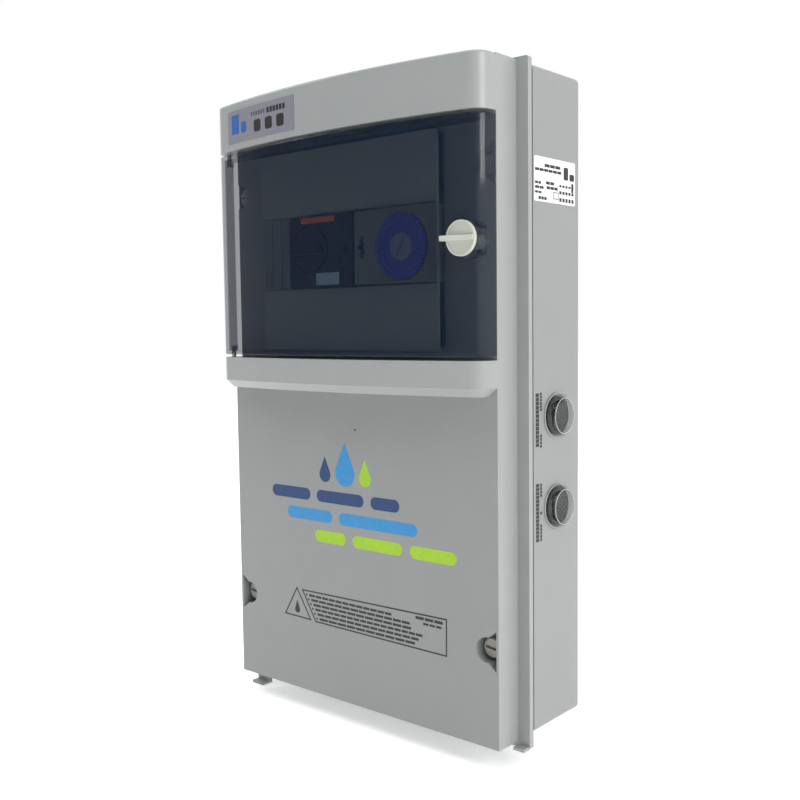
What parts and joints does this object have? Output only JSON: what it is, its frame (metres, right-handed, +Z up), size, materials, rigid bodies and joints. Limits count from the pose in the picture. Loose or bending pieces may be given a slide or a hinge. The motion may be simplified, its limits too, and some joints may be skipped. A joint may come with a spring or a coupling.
{
  "type": "pool electrical control cabinet",
  "caption": "Wall-hung pool control cabinet with a bowed smoked door, quarter-turn latch, breaker and time switch behind it, and capped rocker switches on its side.",
  "frame": {"origin": "centre of the four wall-fixing holes, on the back face", "axes": "+X to the right as one faces the door, +Z up, -Y towards the user; the back face lies on the wall at Y = 0"},
  "size_m": [0.2464, 0.1013, 0.4111],
  "materials": {
    "cover_plastic": "light grey moulded ABS, glossy, slight orange peel",
    "box_plastic": "light grey moulded ABS, satin to glossy",
    "smoked_clear": "smoked blue-grey polycarbonate, polished",
    "clear_silicone": "clear soft PVC, polished",
    "latch_plastic": "grey-beige nylon, fine grain",
    "black_plastic": "black moulded plastic, satin",
    "device_grey": "grey moulded thermoplastic, fine grain",
    "device_black": "black thermoplastic, fine grain",
    "knob_red": "dark red-black rotary setting, satin",
    "orange_strip": "orange printed strip",
    "pale_blue": "pale blue marking plate",
    "dial_blue": "blue-violet dial plastic",
    "dial_pale": "pale blue-grey hub",
    "tappet_blue": "blue switching tappets",
    "zinc_steel": "zinc-plated steel, brushed",
    "screw_plastic": "beige-grey glass-filled nylon",
    "brass": "bright brass",
    "core_steel": "varnished laminated steel",
    "winding_tape": "yellow polyester winding tape",
    "rubber_black": "black rubber",
    "gland_grey": "grey nylon",
    "wire_pvc": "PVC wire insulation",
    "ceramic_glass": "fuse glass",
    "label_silver": "silver-lilac printed foil",
    "label_white": "white printed vinyl"
  },
  "bodies": {
    "cabinet": {"back_box": "box_plastic", "front_cover": "cover_plastic", "cover_gasket": "rubber_black", "device_fascia": "cover_plastic", "blanking_plate": "device_grey", "din_rail": "zinc_steel", "rail_screws": "zinc_steel", "breaker_body": "device_black", "breaker_strip": "orange_strip", "breaker_label": "pale_blue", "aux_contact": "device_black", "timer_body": "device_grey", "hinge_pins": "zinc_steel", "gland_bodies": "gland_grey", "gland_seals": "rubber_black", "gland_nuts": "gland_grey", "gland_locknuts": "gland_grey", "transformer_core": "core_steel", "transformer_winding": "winding_tape", "transformer_frame": "zinc_steel", "transformer_screws": "zinc_steel", "terminal_block": "black_plastic", "terminal_screws": "brass", "fuse_holder": "black_plastic", "fuse": "ceramic_glass", "wires": "wire_pvc", "header_label": "label_silver", "side_label": "label_white", "lights_switch_body": "black_plastic", "lights_switch_cap": "clear_silicone", "lights_switch_nut": "black_plastic", "lights_switch_tabs": "brass", "filtration_switch_body": "black_plastic", "filtration_switch_cap": "clear_silicone", "filtration_switch_nut": "black_plastic", "filtration_switch_tabs": "brass"},
    "door": {"smoked_door": "smoked_clear"},
    "latch": {"latch_knob": "latch_plastic", "latch_cam": "latch_plastic", "latch_screw": "zinc_steel"},
    "breaker_dial": {"breaker_knob": "knob_red"},
    "timer_clock": {"timer_dial": "dial_blue", "timer_tappets": "tappet_blue", "timer_hub": "dial_pale"},
    "timer_override": {"timer_slider": "black_plastic"},
    "lights_button": {"lights_rocker": "black_plastic"},
    "filtration_button": {"filtration_rocker": "black_plastic"},
    "screw_lower_left": {"cover_screw_lower_left": "screw_plastic"},
    "screw_upper_left": {"cover_screw_upper_left": "screw_plastic"},
    "screw_lower_right": {"cover_screw_lower_right": "screw_plastic"},
    "screw_upper_right": {"cover_screw_upper_right": "screw_plastic"}
  },
  "joints": [
    {"name": "door_hinge", "type": "hinge", "parent": "cabinet", "child": "door", "pos_m": [-0.1086, -0.0808, 0.0952], "axis": [0, 0, -1], "range_deg": [0, 110]},
    {"name": "latch_turn", "type": "hinge", "parent": "door", "child": "latch", "pos_m": [0.1012, -0.0935, 0.0933], "axis": [0, -1, 0], "range_deg": [0, 90]},
    {"name": "breaker_knob_turn", "type": "hinge", "parent": "cabinet", "child": "breaker_dial", "pos_m": [-0.027, -0.0848, 0.0948], "axis": [0, -1, 0], "range_deg": [0, 90]},
    {"name": "timer_dial_turn", "type": "hinge", "parent": "cabinet", "child": "timer_clock", "pos_m": [0.0496, -0.0848, 0.0923], "axis": [0, 1, 0], "continuous": true},
    {"name": "timer_override_slide", "type": "slide", "parent": "cabinet", "child": "timer_override", "axis": [0, 0, 1], "range_m": [-0.003, 0.003]},
    {"name": "lights_rocker_tilt", "type": "hinge", "parent": "cabinet", "child": "lights_button", "pos_m": [0.119, -0.027, -0.0086], "axis": [0, -1, 0], "range_deg": [0, 18]},
    {"name": "filtration_rocker_tilt", "type": "hinge", "parent": "cabinet", "child": "filtration_button", "pos_m": [0.119, -0.027, -0.0631], "axis": [0, -1, 0], "range_deg": [-9, 9]},
    {"name": "screw_lower_left_turn", "type": "hinge", "parent": "cabinet", "child": "screw_lower_left", "pos_m": [-0.1035, -0.069, -0.1423], "axis": [0, 1, 0], "range_deg": [0, 90]},
    {"name": "screw_upper_left_turn", "type": "hinge", "parent": "cabinet", "child": "screw_upper_left", "pos_m": [-0.1035, -0.069, 0.1355], "axis": [0, 1, 0], "range_deg": [0, 90]},
    {"name": "screw_lower_right_turn", "type": "hinge", "parent": "cabinet", "child": "screw_lower_right", "pos_m": [0.1035, -0.069, -0.1423], "axis": [0, 1, 0], "range_deg": [0, 90]},
    {"name": "screw_upper_right_turn", "type": "hinge", "parent": "cabinet", "child": "screw_upper_right", "pos_m": [0.1035, -0.069, 0.1355], "axis": [0, 1, 0], "range_deg": [0, 90]}
  ]
}
